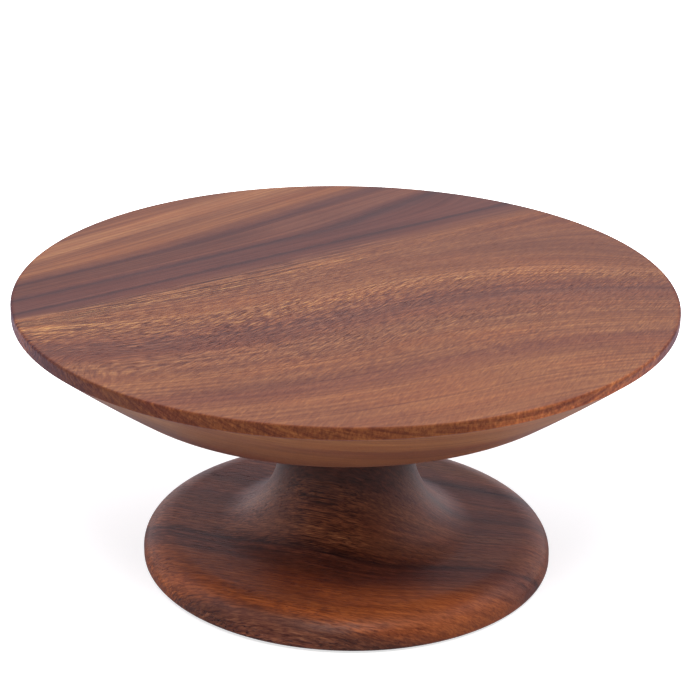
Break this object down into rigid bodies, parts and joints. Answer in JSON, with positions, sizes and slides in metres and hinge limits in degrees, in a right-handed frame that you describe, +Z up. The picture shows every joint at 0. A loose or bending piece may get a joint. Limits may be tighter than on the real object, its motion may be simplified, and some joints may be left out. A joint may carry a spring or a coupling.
{
  "type": "cake stand",
  "caption": "Round wooden pedestal cake stand: a flat plate with a bevelled underside on a slim neck that flares into a round foot; it holds and shows a cake.",
  "frame": {"origin": "centre of the base on the floor plane", "axes": "+Z up through the middle of the plate and foot; -Y towards the viewer; +X to the viewer's right"},
  "size_m": [0.3, 0.3, 0.133],
  "materials": {
    "plate_wood": "oiled tropical hardwood, satin, straight grain with dark and light bands",
    "pedestal_wood": "oiled tropical hardwood, satin, darker than the plate",
    "insert_brass": "machined, satin",
    "zinc_steel": "zinc plated, satin",
    "dowel_wood": "unfinished beech",
    "pad_rubber": "matt black rubber"
  },
  "bodies": {
    "root": {"plate": "plate_wood", "pedestal": "pedestal_wood", "threaded_insert": "insert_brass", "centre_bolt": "zinc_steel", "flat_washer": "zinc_steel", "lock_washer": "zinc_steel", "dowel_pin_1": "dowel_wood", "dowel_pin_2": "dowel_wood", "foot_pad_1": "pad_rubber", "foot_pad_2": "pad_rubber", "foot_pad_3": "pad_rubber", "foot_pad_4": "pad_rubber"}
  },
  "joints": []
}
